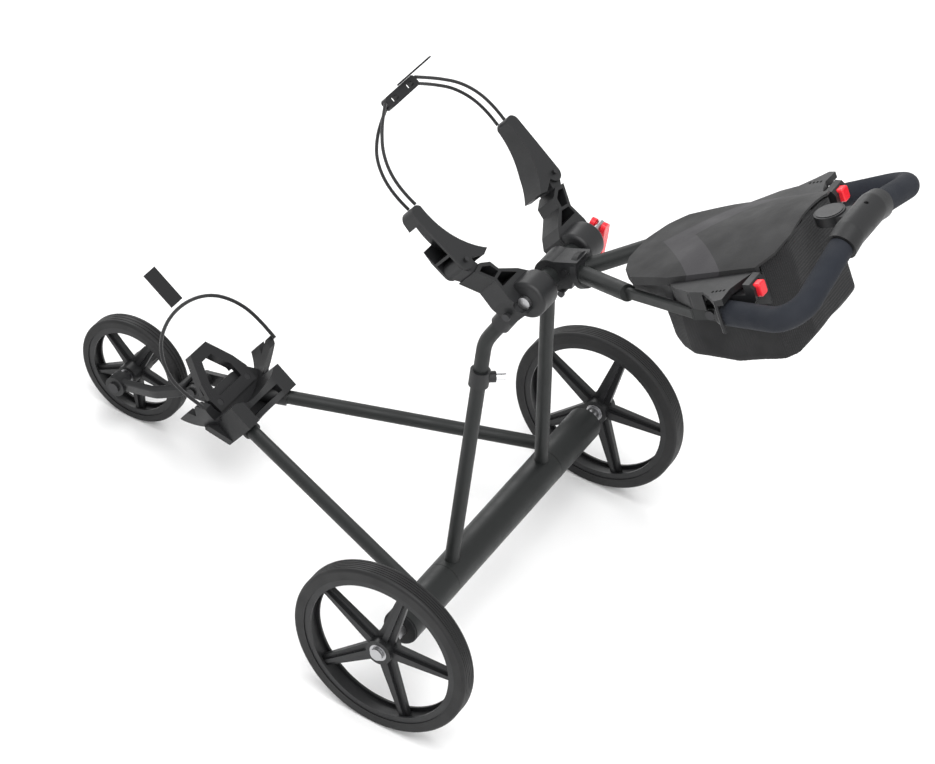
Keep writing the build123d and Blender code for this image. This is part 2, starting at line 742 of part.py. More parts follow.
with BuildPart() as pad_left:
    pad_root_u = 92.0
    pad_root = (pad_root_u, on_bag_top(pad_root_u))
    pad_tip = (pad_tip_u, on_bag_top(pad_tip_u))
    with BuildSketch(cradle(-arm_width)) as pad_outline:
        with BuildLine():
            ThreePointArc(pad_root, (138, on_bag_top(138)), pad_tip)
            RadiusArc(pad_tip, (pad_tip_u - 4, pad_outer_y + 2), -12)
            Polyline((pad_tip_u - 4, pad_outer_y + 2), (elbow_u + 46, pad_outer_y),
                     (elbow_u, elbow_y + elbow_boss_d / 2))
            ThreePointArc((elbow_u, elbow_y + elbow_boss_d / 2), (elbow_u - elbow_boss_d / 2, elbow_y),
                          (elbow_u - 3, elbow_y - elbow_boss_d / 2 + 0.6))
            Polyline((elbow_u - 3, elbow_y - elbow_boss_d / 2 + 0.6), (88, 90), pad_root)
        make_face()
    extrude(amount=arm_width)
    with BuildSketch(cradle(pad_wall - arm_width)):
        with Locations((bag_top_u, 0)):
            Circle(bag_top_r + 80)
            Circle(bag_top_r + pad_wall + 1, mode=Mode.SUBTRACT)
        with BuildLine():
            Polyline((60, 100), (92.5, 88), (pad_tip_u - 18, 100), (pad_tip_u - 18, 200), (60, 200), close=True)
        make_face(mode=Mode.INTERSECT)
        with BuildLine():
            Polyline((elbow_u + 18, 100), (elbow_u + 22, 100), (elbow_u + 22, 160), (elbow_u + 18, 160), close=True)
        make_face(mode=Mode.SUBTRACT)
    extrude(amount=arm_width - 2 * pad_wall, mode=Mode.SUBTRACT)
    with BuildSketch(cradle_side):
        with BuildLine():
            Polyline((elbow_u + 20, -arm_width - 1), (pad_tip_u + 10, -pad_tip_height - 2),
                     (pad_tip_u + 10, -arm_width - 1), close=True)
        make_face()
    extrude(amount=400, mode=Mode.SUBTRACT)
    rod(on_cradle(elbow_u, elbow_y, -arm_width - 1), (-lean_sin, 0, lean_cos), pad_bore, arm_width + 10,
        mode=Mode.SUBTRACT)
pad_right = other_side(pad_left)

# ---- elastic bands between the pads, with their buckle ----
upper_v = -3.0
lower_v = -20.0
cord_start_u = pad_tip_u + 6.5
band_end = buckle_half
upper_route = [on_cradle(cord_start_u, 124, upper_v), on_cradle(226, 126.5, upper_v),
               on_cradle(259, 121.5, upper_v), on_cradle(288, 105, upper_v), on_cradle(310, 80, upper_v),
               on_cradle(326, 57, upper_v + 1), on_cradle(buckle_u + 3, band_end, buckle_v + 4)]
lower_route = [on_cradle(cord_start_u, 124, lower_v), on_cradle(226, 126.5, lower_v),
               on_cradle(259, 121.5, lower_v), on_cradle(288, 105, lower_v), on_cradle(308, 80, lower_v + 2),
               on_cradle(321, 57, lower_v + 7), on_cradle(buckle_u - 4, band_end, buckle_v - 4)]
bungee_upper_left = cord("bungee_upper", upper_route, bungee_d)
bungee_lower_left = cord("bungee_lower", lower_route, bungee_d)
bungee_upper_right = other_side(bungee_upper_left)
bungee_lower_right = other_side(bungee_lower_left)

with BuildPart() as bungee_buckle:
    with BuildSketch(cradle(buckle_v - 6)):
        with Locations((buckle_u, 0)):
            RectangleRounded(18, 2 * buckle_half - 4, 6)
        with Locations((buckle_u, 20), (buckle_u, -20)):
            RectangleRounded(7, 14, 2, mode=Mode.SUBTRACT)
    extrude(amount=12)

with BuildPart() as bungee_tag:
    tag_plane = Plane(origin=on_cradle(buckle_u + 9.5, -8, buckle_v), x_dir=(-0.8 * lean_sin, -0.6, 0.8 * lean_cos),
                      z_dir=(lean_cos, 0, lean_sin))
    with BuildSketch(tag_plane):
        Rectangle(tag_length, tag_width, align=(Align.MIN, Align.CENTER))
    extrude(amount=2.5)

# ---- clamping lever at the right end of the hub ----
lever_mid = barrel_mid - Vector(0, lever_y, 0)
with BuildPart() as cam_lever:
    with BuildSketch(Plane(origin=lever_mid - Vector(lever_width / 2, 0, 0), x_dir=(0, 1, 0), z_dir=(1, 0, 0))):
        Circle(8)
        with BuildLine():
            Polyline((-8, 0), (8, 0), (7, -16), (1, -lever_length + 6), (-6, -lever_length), (-9, -20), close=True)
        make_face()
    extrude(amount=lever_width)
    fillet(edges().filter_by(Axis.X).group_by(Axis.Z)[0], radius=2)
    with BuildSketch(Plane(origin=lever_mid - Vector(0, 0, lever_slot_depth))):
        Rectangle(cross_rod_d + 2 * body_gap, 40)
    extrude(amount=40, mode=Mode.SUBTRACT)
    rod(lever_mid - Vector(lever_width / 2, 0, 0), (1, 0, 0), lever_pin_d, lever_width)

# ---- accessory stub on the left upright ----
upright_run = upright_bend - upright_foot
upright_dir = upright_run.normalized()
stub_height = hub_height - stub_drop
stub_place = upright_foot + upright_dir * (stub_height * upright_run.length / upright_run.Z)
stub_dir = Vector(-0.75, -0.66, 0).normalized()
stub_seat = stub_place + stub_dir * stub_collar
with BuildPart() as accessory_sleeve:
    rod(stub_place - upright_dir * 13, upright_dir, stub_sleeve_d, 26)
    rod(stub_place, stub_dir, stub_d + 7, stub_collar - body_gap)
    rod(stub_place - upright_dir * 14, upright_dir, upright_d, 28, mode=Mode.SUBTRACT)
    rod(stub_seat - stub_dir * stub_root, stub_dir, stub_root_d, stub_root, mode=Mode.SUBTRACT)
with BuildPart() as accessory_stub:
    rod(stub_seat - stub_dir * stub_root, stub_dir, stub_root_d, stub_root + 1)
    rod(stub_seat, stub_dir, stub_d, stub_free)

# ---- handle ----
hub_x = -hub_setback
collar_x = hub_x - collar_back
collar_z = hub_height + collar_back * rise_sin / rise_cos - handle_drop
bend = at(console_x, rail_front_y, console_z)
rail_end = on_console(rail_turn_s, bolt_y, 0)
tube_start = at(collar_x, 5.5, collar_z)
tube_dir = (bend - tube_start).normalized()
rail_run = rail_end - bend
rail_dir = rail_run.normalized()

with BuildPart() as handle_yoke:
    with BuildSketch(across(barrel_mid - Vector(0, yoke_half, 0))):
        Circle(yoke_d / 2)
        with BuildLine():
            Polyline((0, yoke_d / 2), (-collar_back, collar_d / 2 - 22), (-collar_back, -collar_d / 2 - 16),
                     (0, -yoke_d / 2), close=True)
        make_face()
    extrude(amount=2 * yoke_half)
    collar_plane = Plane(origin=at(collar_x, 0, collar_z), z_dir=(-rise_cos, 0, rise_sin))
    with BuildSketch(collar_plane):
        Circle(collar_d / 2)
    extrude(amount=collar_width)
    rod(barrel_mid - Vector(0, 60, 0), (0, 1, 0), barrel_d + 2 * running_gap, 120, mode=Mode.SUBTRACT)
    for side in (1, -1):
        start = Vector(tube_start.X, side * tube_start.Y, tube_start.Z)
        along = Vector(tube_dir.X, side * tube_dir.Y, tube_dir.Z)
        rod(start, along, handle_tube_d, 60, mode=Mode.SUBTRACT)
    for height in (18, -20):
        rod(barrel_mid + Vector(-22, -60, height), (0, 1, 0), 6, 120, mode=Mode.SUBTRACT)

with BuildPart() as yoke_bolts:
    for height in (18, -20):
        rod(barrel_mid + Vector(-22, -yoke_half, height), (0, 1, 0), 6, 2 * yoke_half)
        rod(barrel_mid + Vector(-22, yoke_half, height), (0, 1, 0), 10, 4)
        rod(barrel_mid + Vector(-22, -yoke_half, height), (0, -1, 0), 10, 4)

with BuildPart() as handle_tube_left:
    rod(tube_start, tube_dir, handle_tube_d, (bend - tube_start).length + 5)
    with Locations(Plane(origin=at(collar_x - 60, 0, collar_z), z_dir=(0, 0, 1))):
        Box(200, 200, 300, align=(Align.CENTER, Align.MAX, Align.CENTER), mode=Mode.SUBTRACT)
    rail_face = Plane(origin=bend - rail_dir * 10, x_dir=Vector(slope_sin, 0, slope_cos), z_dir=rail_dir)
    with BuildSketch(rail_face):
        RectangleRounded(rail_height, rail_thickness, 3)
    extrude(amount=rail_run.length + 12)
    with BuildSketch(console(-rail_height / 2)):
        with Locations((-rail_turn_s + 3, bolt_y)):
            Rectangle(bolt_s - rail_turn_s + 15, rail_thickness, align=(Align.MAX, Align.CENTER))
    extrude(amount=rail_height)
    rod(on_console(bolt_s, bolt_y - 30, 0), (0, 1, 0), bolt_d, 60, mode=Mode.SUBTRACT)
handle_tube_right = other_side(handle_tube_left)

# ---- console frame with its two wings ----
edge_slope = (frame_rear_h - frame_front_h) / frame_rear_s
roof_reach = 400.0


def edge_h(s):
    """Height of the seam between the frame and the lid."""
    return frame_front_h + edge_slope * s


def console_section(s):
    """Plane across the console: local x is +Y, local y is up from the rails."""
    return Plane(origin=on_console(s, 0, 0), x_dir=(0, 1, 0), z_dir=(slope_cos, 0, -slope_sin))


def console_side(y):
    """Plane along the console: local x points forward and down, local y is up from the rails."""
    return Plane(origin=on_console(0, y, 0), x_dir=(slope_cos, 0, -slope_sin), z_dir=(0, -1, 0))


def mirrored_outline(half):
    """Closed outline from its points on the +Y side, given as (s, y)."""
    left_side = [(-s, y) for s, y in half]
    return left_side + [(x, -y) for x, y in reversed(left_side)]


def outline_face(plane, points):
    with BuildSketch(plane) as outline:
        with BuildLine():
            Polyline(*points, close=True)
        make_face()
    return outline.sketch


def above_seam(rise, mode):
    """Everything above a plane that follows the seam at a given rise."""
    points = [(60, edge_h(-60) + rise), (-roof_reach, edge_h(roof_reach) + rise), (-roof_reach, 300), (60, 300)]
    extrude(outline_face(console_side(200), points), amount=400, mode=mode)


def box_on_console(s_from, s_to, y_from, y_to, h_from, h_to, mode):
    with BuildSketch(console(h_from)) as base:
        with Locations((-s_to, y_from)):
            Rectangle(s_to - s_from, y_to - y_from, align=(Align.MIN, Align.MIN))
    extrude(base.sketch, amount=h_to - h_from, mode=mode)


frame_outer = mirrored_outline([(0, frame_front_half), (94, frame_half), (frame_rear_s - 16, frame_half)])
frame_inner = mirrored_outline([(frame_wall, frame_front_half - 2), (95, frame_half - frame_wall),
                                (frame_rear_s, frame_half - frame_wall)])
wing_points = [(-96, frame_half - 1), (-112, 118), (-150, bolt_y + 6), (-bolt_s - 4, bolt_y + 12), (-195, 161),
               (-210, wing_y), (-222, wing_y - 3), (-220, 145), (-227, 125), (-237, frame_half + 1),
               (-237, frame_half - 1)]

with BuildPart() as wing_room:
    with BuildSketch(console(-20)):
        with BuildLine():
            Polyline(*wing_points, close=True)
        make_face()
        offset(amount=-frame_wall, kind=Kind.INTERSECTION, mode=Mode.REPLACE)
    extrude(amount=100)
    above_seam(-1, Mode.SUBTRACT)

with BuildPart() as wing_left:
    extrude(outline_face(console(lip_h), wing_points), amount=80)
    add(wing_room.part, mode=Mode.SUBTRACT)
    box_on_console(60, bolt_s + 16, frame_half - 2, 200, lip_h - 1, rail_height / 2 + 1, Mode.SUBTRACT)
    box_on_console(bolt_s, 260, frame_half - 2, wing_y - 4, lip_h - 1, cheek_window_h + 14, Mode.SUBTRACT)
    box_on_console(213, 260, frame_half - 2, 200, lip_h - 1, cheek_window_h + 14, Mode.SUBTRACT)
    box_on_console(144, 160, bolt_y - 4, bolt_y + 4, rail_height / 2, edge_h(144), Mode.ADD)
    above_seam(4, Mode.SUBTRACT)
    for tooth in range(comb_teeth):
        place = comb_start_s + tooth * comb_pitch
        box_on_console(place, place + comb_pitch / 2, comb_y - 5, comb_y, edge_h(place), 80, Mode.SUBTRACT)
wing_right = other_side(wing_left)

with BuildPart() as lid_room:
    above_seam(0, Mode.ADD)
    extrude(outline_face(console(-60), mirrored_outline([(-60, 120), (94, frame_half + 2),
                                                         (400, frame_half + 2)])), amount=300,
            mode=Mode.INTERSECT)

with BuildPart() as console_frame:
    extrude(outline_face(console(-6), frame_outer), amount=80)
    extrude(outline_face(console(-6), frame_inner), amount=80, mode=Mode.SUBTRACT)
    above_seam(0, Mode.SUBTRACT)
    add(wing_left.part)
    add(wing_right.part)
    add(lid_room.part, mode=Mode.SUBTRACT)

# ---- storage bag ----
bag_half = frame_half - frame_wall
bag_plan = mirrored_outline([(bag_front_s, 72), (96, bag_half), (238, bag_half), (bag_rear_s, 62)])
bag_side = [(-bag_front_s + 4, 100), (-bag_front_s - 8, -70), (-73, -84), (-161, 0.5 - bag_depth - 5),
            (-252, 1 - bag_depth), (-bag_rear_s - 2, -76), (-bag_rear_s - 6, 100)]


def crown_profile(plane, s, drop, base):
    """Arched section of the lid at a place along the console."""
    share = (s - lid_front_s) / (lid_rear_s - lid_front_s)
    side_top = edge_h(s) + body_gap + lid_front_side + share * (lid_rear_side - lid_front_side) - drop
    crown = lid_front_crown + share * (lid_rear_crown - lid_front_crown)
    with BuildSketch(plane) as section:
        with BuildLine():
            Polyline((-lid_reach, side_top), (-lid_reach, base), (lid_reach, base), (lid_reach, side_top))
            ThreePointArc((lid_reach, side_top), (0, side_top + crown), (-lid_reach, side_top))
        make_face()
    return section.sketch.face()


def lid_shape(drop, base_drop):
    front_base = edge_h(lid_front_s) + body_gap - base_drop
    rear_base = edge_h(lid_rear_s) + body_gap - base_drop
    front = crown_profile(console_section(lid_front_s), lid_front_s, drop, front_base)
    rear = crown_profile(console_section(lid_rear_s), lid_rear_s, drop, rear_base)
    with BuildPart() as shape:
        loft([front, rear], ruled=True)
    return shape.part


def bag_solid(inset, low, high):
    with BuildPart() as solid:
        with BuildSketch(console(low)):
            with BuildLine():
                Polyline(*bag_plan, close=True)
            make_face()
            if inset > 0:
                offset(amount=-inset, kind=Kind.INTERSECTION, mode=Mode.REPLACE)
        extrude(amount=high - low)
        with BuildSketch(console_side(200)) as side_view:
            with BuildLine():
                Polyline(*bag_side, close=True)
            make_face()
            if inset > 0:
                offset(amount=-inset, kind=Kind.INTERSECTION, mode=Mode.REPLACE)
        extrude(side_view.sketch, amount=400, mode=Mode.INTERSECT)
    return solid.part


with BuildPart() as bag_back:
    add(bag_solid(0, 0, 90))
    extrude(outline_face(console(-6), mirrored_outline([(238, 200), (300, 200)])), amount=120,
            mode=Mode.INTERSECT)
    add(lid_shape(lid_wall + body_gap, 60), mode=Mode.INTERSECT)

with BuildPart() as storage_bag:
    add(bag_solid(0, -120, bag_hem_h))
    add(bag_back.part)
    add(bag_solid(bag_wall, -120, 140), mode=Mode.SUBTRACT)

# ---- lid ----
lid_plan = mirrored_outline([(lid_front_s, 26), (4, 64), (26, 87), (94, frame_half - 1), (238, frame_half + 1),
                             (262, 84), (lid_rear_s + 2, 52), (lid_rear_s + 4, 20)])
lid_plan_inner = mirrored_outline([(lid_front_s + lid_wall, 24), (8, 61), (29, 84), (96, frame_half - 1 - lid_wall),
                                   (238, frame_half + 1 - lid_wall), (300, frame_half + 1 - lid_wall)])


with BuildPart() as lid_cavity:
    add(lid_shape(lid_wall, 4))
    extrude(outline_face(console(0), lid_plan_inner), amount=120, mode=Mode.INTERSECT)

with BuildPart() as console_lid:
    add(lid_shape(0, 0))
    extrude(outline_face(console(0), lid_plan), amount=120, mode=Mode.INTERSECT)
    add(lid_cavity.part, mode=Mode.SUBTRACT)

# ---- swinging cheeks with their release buttons ----
rail_clear_y = bolt_y - rail_thickness / 2 - body_gap
cheek_link = [(-bolt_s, -cheek_link_h), (-206, -14), (-218, 2), (-218, cheek_link_h), (-bolt_s, cheek_link_h)]
cheek_lobe = [(-205, 4), (-230, 8), (-246, 16), (-252, 24), (-253, 38), (-248, 46), (-238, 47),
              (-238, 31), (-205, 30)]
button_mid = on_console(button_s, button_y, button_h)
grip_points = [on_console(204, grip_start_y, grip_start_h), on_console(grip_corner_s, grip_y, grip_corner_h),
               on_console(grip_back_s, grip_inner_y, grip_rise)]
foam_first = grip_points[0] + (grip_points[1] - grip_points[0]).normalized() * foam_lead
foam_points = [foam_first] + grip_points[1:]

with BuildPart() as cheek_left:
    extrude(outline_face(console_side(rail_clear_y), cheek_link), amount=rail_clear_y - cheek_inner_y)
    with BuildSketch(console_side(rail_clear_y)) as hub_disc:
        with Locations((-bolt_s, 0)):
            Circle(cheek_link_h)
    extrude(hub_disc.sketch, amount=rail_clear_y - cheek_inner_y)
    extrude(outline_face(console_side(button_y + 15), cheek_lobe), amount=button_y + 15 - cheek_inner_y)
    with BuildLine() as core_route:
        FilletPolyline(*grip_points, radius=grip_bend_r)
    core_start = core_route.line @ 0
    core_dir = core_route.line % 0
    rod(core_start - core_dir * 2, core_dir, grip_core_d + 12, 9)
    box_on_console(203, 212, cheek_inner_y, grip_start_y, 2, 20, Mode.ADD)
    with BuildSketch(Plane(origin=core_start, z_dir=core_dir)) as core_disc:
        Circle(grip_core_d / 2)
    extrude(core_disc.sketch, amount=40, mode=Mode.SUBTRACT)
    rod(core_start + core_dir * 7.5, core_dir, foam_d + 1, 60, mode=Mode.SUBTRACT)
    rod(on_console(bolt_s, cheek_inner_y - 1, 0), (0, 1, 0), bolt_d + 2 * running_gap, 30, mode=Mode.SUBTRACT)
    box_on_console(button_s - button_length / 2 - button_travel - body_gap, button_s + 40,
                   button_y - button_width / 2 - body_gap, button_y + button_width / 2 + body_gap,
                   button_h - button_height / 2 - body_gap, button_h + button_height / 2 + body_gap, Mode.SUBTRACT)
cheek_right = other_side(cheek_left)

with BuildPart() as button_left:
    with BuildSketch(console_section(button_s + button_length / 2)) as button_face:
        with Locations((button_y, button_h)):
            RectangleRounded(button_width, button_height, 4)
    extrude(button_face.sketch, amount=button_length)
    fillet(faces().sort_by(Axis((0, 0, 0), (slope_cos, 0, -slope_sin)))[0].edges(), radius=2)
button_right = other_side(button_left)

with BuildPart() as pivot_bolts:
    for side in (1, -1):
        rod(on_console(bolt_s, side * (cheek_inner_y - 2), 0), (0, side, 0), bolt_d,
            bolt_y + rail_thickness / 2 - cheek_inner_y + 2)
        rod(on_console(bolt_s, side * (bolt_y + rail_thickness / 2), 0), (0, side, 0), bolt_d + 7, 4)
        rod(on_console(bolt_s, side * (cheek_inner_y - body_gap), 0), (0, -side, 0), bolt_d + 4, 2)

# ---- grip ----
core_points = grip_points + [Vector(p.X, -p.Y, p.Z) for p in reversed(grip_points)]
with BuildPart() as grip_core:
    bent_tube(core_points, [grip_bend_r, grip_middle_r, grip_middle_r, grip_bend_r], grip_core_d,
              grip_core_d - 2 * tube_wall)

clamp_start = on_console(grip_back_s, grip_inner_y, grip_rise)
clamp_run = (on_console(grip_corner_s, grip_y, grip_corner_h) - clamp_start).normalized()
with BuildPart() as foam_grip_left:
    bent_tube(foam_points, grip_bend_r, foam_d, grip_core_d)
    rod(clamp_start - clamp_run, clamp_run, foam_d + 20, clamp_sleeve, mode=Mode.SUBTRACT)
foam_grip_right = other_side(foam_grip_left)

with BuildPart() as core_solid:
    bent_tube(core_points, [grip_bend_r, grip_middle_r, grip_middle_r, grip_bend_r], grip_core_d, 0)

seat_h = disc_h - 5
with BuildPart() as grip_clamp:
    rod(on_console(grip_back_s, -grip_inner_y, grip_rise), (0, 1, 0), clamp_d, 2 * grip_inner_y)
    for side in (1, -1):
        elbow = Vector(clamp_start.X, side * clamp_start.Y, clamp_start.Z)
        outward = Vector(clamp_run.X, side * clamp_run.Y, clamp_run.Z)
        with Locations(elbow):
            Sphere(clamp_d / 2)
        rod(elbow, outward, clamp_d, clamp_sleeve - 2)
    arm_side = [(-grip_back_s + 4, grip_rise + clamp_d / 2 - 4), (-disc_s, seat_h), (-disc_s, seat_h - 9),
                (-grip_back_s + 18, grip_rise - 8), (-grip_back_s, grip_rise - 12)]
    extrude(outline_face(console_side(15), arm_side), amount=30)
    rod(on_console(disc_s, 0, seat_h - 9), (slope_sin, 0, slope_cos), disc_d, 14)
    rod(on_console(disc_s, 0, seat_h), (slope_sin, 0, slope_cos), disc_d - 6, 20, mode=Mode.SUBTRACT)
    rod(on_console(grip_back_s + 8, -14, grip_rise + 10), (slope_sin, 0, slope_cos), 6, 30, mode=Mode.SUBTRACT)
    add(core_solid.part, mode=Mode.SUBTRACT)

with BuildPart() as round_cap:
    rod(on_console(disc_s, 0, seat_h), (slope_sin, 0, slope_cos), disc_d - 6, 6)

# ---- every piece, by its own name ----
pieces = {
    "axle_center_tube": axle_center_tube,
    "axle_sleeve_left": axle_sleeve_left,
    "axle_sleeve_right": axle_sleeve_right,
    "axle_bushes": axle_bushes,
    "rear_axle_rod": rear_axle_rod,
    "rear_tyre_left": rear_tyre_left,
    "rear_tyre_right": rear_tyre_right,
    "rear_rim_left": rear_rim_left,
    "rear_rim_right": rear_rim_right,
    "rear_bearings_left": rear_bearings_left,
    "rear_bearings_right": rear_bearings_right,
    "front_tyre": front_tyre,
    "front_rim": front_rim,
    "front_bearings": front_bearings,
    "lower_tube_left": lower_tube_left,
    "lower_tube_right": lower_tube_right,
    "lower_bracket": lower_bracket,
    "bag_base_hoop": bag_base_hoop,
    "bracket_screws": bracket_screws,
    "fork_pivot_pin": fork_pivot_pin,
    "lower_strap_cord": lower_strap_cord,
    "lower_strap_label": lower_strap_label,
    "front_fork": front_fork,
    "front_axle": front_axle,
    "tracking_knob": tracking_knob,
    "upright_left": upright_left,
    "upright_right": upright_right,
    "hub_barrel": hub_barrel,
    "hub_cross_rod": hub_cross_rod,
    "cradle_arm_left": cradle_arm_left,
    "cradle_arm_right": cradle_arm_right,
    "cradle_bolts": cradle_bolts,
    "pad_left": pad_left,
    "pad_right": pad_right,
    "bungee_upper_left": bungee_upper_left,
    "bungee_upper_right": bungee_upper_right,
    "bungee_lower_left": bungee_lower_left,
    "bungee_lower_right": bungee_lower_right,
    "bungee_buckle": bungee_buckle,
    "bungee_tag": bungee_tag,
    "cam_lever": cam_lever,
    "accessory_sleeve": accessory_sleeve,
    "accessory_stub": accessory_stub,
    "handle_yoke": handle_yoke,
    "yoke_bolts": yoke_bolts,
    "handle_tube_left": handle_tube_left,
    "handle_tube_right": handle_tube_right,
    "console_frame": console_frame,
    "storage_bag": storage_bag,
    "console_lid": console_lid,
    "cheek_left": cheek_left,
    "cheek_right": cheek_right,
    "button_left": button_left,
    "button_right": button_right,
    "pivot_bolts": pivot_bolts,
    "grip_core": grip_core,
    "foam_grip_left": foam_grip_left,
    "foam_grip_right": foam_grip_right,
    "grip_clamp": grip_clamp,
    "round_cap": round_cap,
}
for name, piece in pieces.items():
    piece.part.label = name
    export_step(piece.part, f"parts/{name}.step")
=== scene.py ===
import json
import math

import bpy
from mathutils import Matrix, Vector


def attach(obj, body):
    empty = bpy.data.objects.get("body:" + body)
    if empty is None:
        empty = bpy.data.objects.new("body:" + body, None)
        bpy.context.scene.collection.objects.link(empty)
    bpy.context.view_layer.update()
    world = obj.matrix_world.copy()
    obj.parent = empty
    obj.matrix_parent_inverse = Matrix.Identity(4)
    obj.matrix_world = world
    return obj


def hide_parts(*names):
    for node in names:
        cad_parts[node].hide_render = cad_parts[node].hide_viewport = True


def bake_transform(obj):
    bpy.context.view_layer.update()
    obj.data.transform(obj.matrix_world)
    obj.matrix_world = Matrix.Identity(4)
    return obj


bl_info = {
    "name": "Golf push cart",
    "version": (1, 0, 0),
    "blender": (4, 5, 0),
    "location": "3D View > Sidebar > Push Cart",
    "description": "Dresses the packed push cart with materials, soft goods and a studio stage",
    "category": "Object",
}

SHARP_ANGLE = 32
SPECULAR = 0.36
BAG_VOXEL = 0.0022
BAG_SMOOTHING = 8
FOLD_SIZE = 0.07
FLOOR_REACH = 12.0
WORLD_STRENGTH = 0.8
CHEVRON_SLANT = 0.8
CHEVRON_PLACE = 0.345
CHEVRON_HALF_WIDTH = 0.022
# Camera place in metres and turn in degrees.
EYE_PLACE = (-1.626, 3.39656, 3.65264)
EYE_TURN = (48.5103, -6.6435, -149.439)
# Name, place, size, share of the main light's power and the point each lamp aims at.
LAMPS = (
    ("key", (-0.6, 0.8, 3.4), 2.6, 1.0, (0, 0, 0.4)),
    ("fill", (-3.2, 2.6, 2.2), 2.2, 0.45, (0, 0, 0.4)),
    ("rim", (2.6, -2.4, 2.4), 1.8, 0.5, (0, 0, 0.5)),
)
# Route points of the elastic cords: up the cart, to the left and along the bag, in metres.
UPPER_ROUTE = [(0.2045, 0.124, -0.003), (0.226, 0.1265, -0.003), (0.259, 0.1215, -0.003),
               (0.288, 0.105, -0.003), (0.310, 0.080, -0.003), (0.326, 0.057, -0.002), (0.336, 0.040, 0.0)]
LOWER_ROUTE = [(0.2045, 0.124, -0.020), (0.226, 0.1265, -0.020), (0.259, 0.1215, -0.020),
               (0.288, 0.105, -0.020), (0.308, 0.080, -0.018), (0.321, 0.057, -0.013), (0.329, 0.040, -0.008)]
STRAP_HALF = [(0.002, 0.102, 0.0086), (0.045, 0.110, 0.002), (0.086, 0.100, 0.0), (0.120, 0.072, 0.0),
              (0.138, 0.026, 0.0)]
FLOOR_TO_STRAP_PLANE = 0.028
FLOOR_TO_STRAP_MIDDLE = 0.018
DARK_METAL = ("pivot_bolts", "cradle_bolts", "yoke_bolts", "bracket_screws", "fork_pivot_pin", "front_axle")

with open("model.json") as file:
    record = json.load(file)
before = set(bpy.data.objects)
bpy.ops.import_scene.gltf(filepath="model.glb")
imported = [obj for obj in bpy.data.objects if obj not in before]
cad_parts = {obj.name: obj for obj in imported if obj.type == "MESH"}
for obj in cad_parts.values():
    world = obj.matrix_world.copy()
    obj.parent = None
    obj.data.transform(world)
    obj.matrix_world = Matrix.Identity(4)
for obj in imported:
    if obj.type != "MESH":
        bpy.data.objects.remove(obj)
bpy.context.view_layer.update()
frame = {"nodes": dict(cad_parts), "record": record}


# ---- settings ----
class PushCartSettings(bpy.types.PropertyGroup):
    grain: bpy.props.FloatProperty(
        name="Plastic grain", description="Size of the texture on moulded plastic",
        default=0.0007, min=0.0002, max=0.01, unit="LENGTH")
    weave: bpy.props.FloatProperty(
        name="Weave", description="Distance between the threads of the fabrics",
        default=0.0022, min=0.0005, max=0.01, unit="LENGTH")
    cord_diameter: bpy.props.FloatProperty(
        name="Elastic cord diameter", description="Diameter of the cords between the pads",
        default=0.005, min=0.002, max=0.01, unit="LENGTH")
    strap_diameter: bpy.props.FloatProperty(
        name="Strap diameter", description="Diameter of the lower elastic strap",
        default=0.006, min=0.002, max=0.012, unit="LENGTH")
    fold_depth: bpy.props.FloatProperty(
        name="Fold depth", description="How deep the soft folds of the storage bag are",
        default=0.004, min=0.0, max=0.02, unit="LENGTH")
    floor_brightness: bpy.props.FloatProperty(
        name="Floor brightness", description="Reflectance of the studio floor",
        default=0.95, min=0.0, max=1.0, subtype="FACTOR")
    light_power: bpy.props.FloatProperty(
        name="Light power", description="Power of the main soft light",
        default=85.0, min=1.0, max=2000.0, unit="POWER")
    lens: bpy.props.FloatProperty(
        name="Lens", description="Focal length of the camera in millimetres",
        default=129.05, min=20.0, max=300.0)


# ---- materials ----
class Nodes:
    """Small helper that adds shader nodes to one material."""

    def __init__(self, name):
        self.material = bpy.data.materials.new(name)
        self.material.use_nodes = True
        self.tree = self.material.node_tree
        self.shader = self.tree.nodes["Principled BSDF"]
        self.shader.inputs["Specular IOR Level"].default_value = SPECULAR

    def add(self, kind, **values):
        node = self.tree.nodes.new(kind)
        for key, value in values.items():
            if hasattr(node, key):
                setattr(node, key, value)
            else:
                node.inputs[key].default_value = value
        return node

    def link(self, source, target):
        self.tree.links.new(source, target)

    def set(self, **values):
        for key, value in values.items():
            self.shader.inputs[key.replace("_", " ")].default_value = value

    def coordinates(self):
        return self.add("ShaderNodeTexCoord").outputs["Object"]

    def noise(self, scale, detail=4.0):
        node = self.add("ShaderNodeTexNoise", Scale=scale, Detail=detail)
        self.link(self.coordinates(), node.inputs["Vector"])
        return node.outputs["Fac"]

    def spread(self, value, low, high):
        """Maps a 0 to 1 value between two roughness or mix values."""
        node = self.add("ShaderNodeMapRange")
        node.inputs["From Min"].default_value = 0.35
        node.inputs["From Max"].default_value = 0.65
        node.inputs["To Min"].default_value = low
        node.inputs["To Max"].default_value = high
        self.link(value, node.inputs["Value"])
        return node.outputs["Result"]

    def bump(self, height, depth):
        node = self.add("ShaderNodeBump", Strength=1.0, Distance=depth)
        self.link(height, node.inputs["Height"])
        self.link(node.outputs["Normal"], self.shader.inputs["Normal"])

    def mix(self, factor, first, second):
        node = self.add("ShaderNodeMix", data_type="RGBA")
        color_first, color_second, color_result = node.inputs[6], node.inputs[7], node.outputs[2]
        self.link(factor, node.inputs[0])
        color_first.default_value = (*first, 1)
        color_second.default_value = (*second, 1)
        return color_result


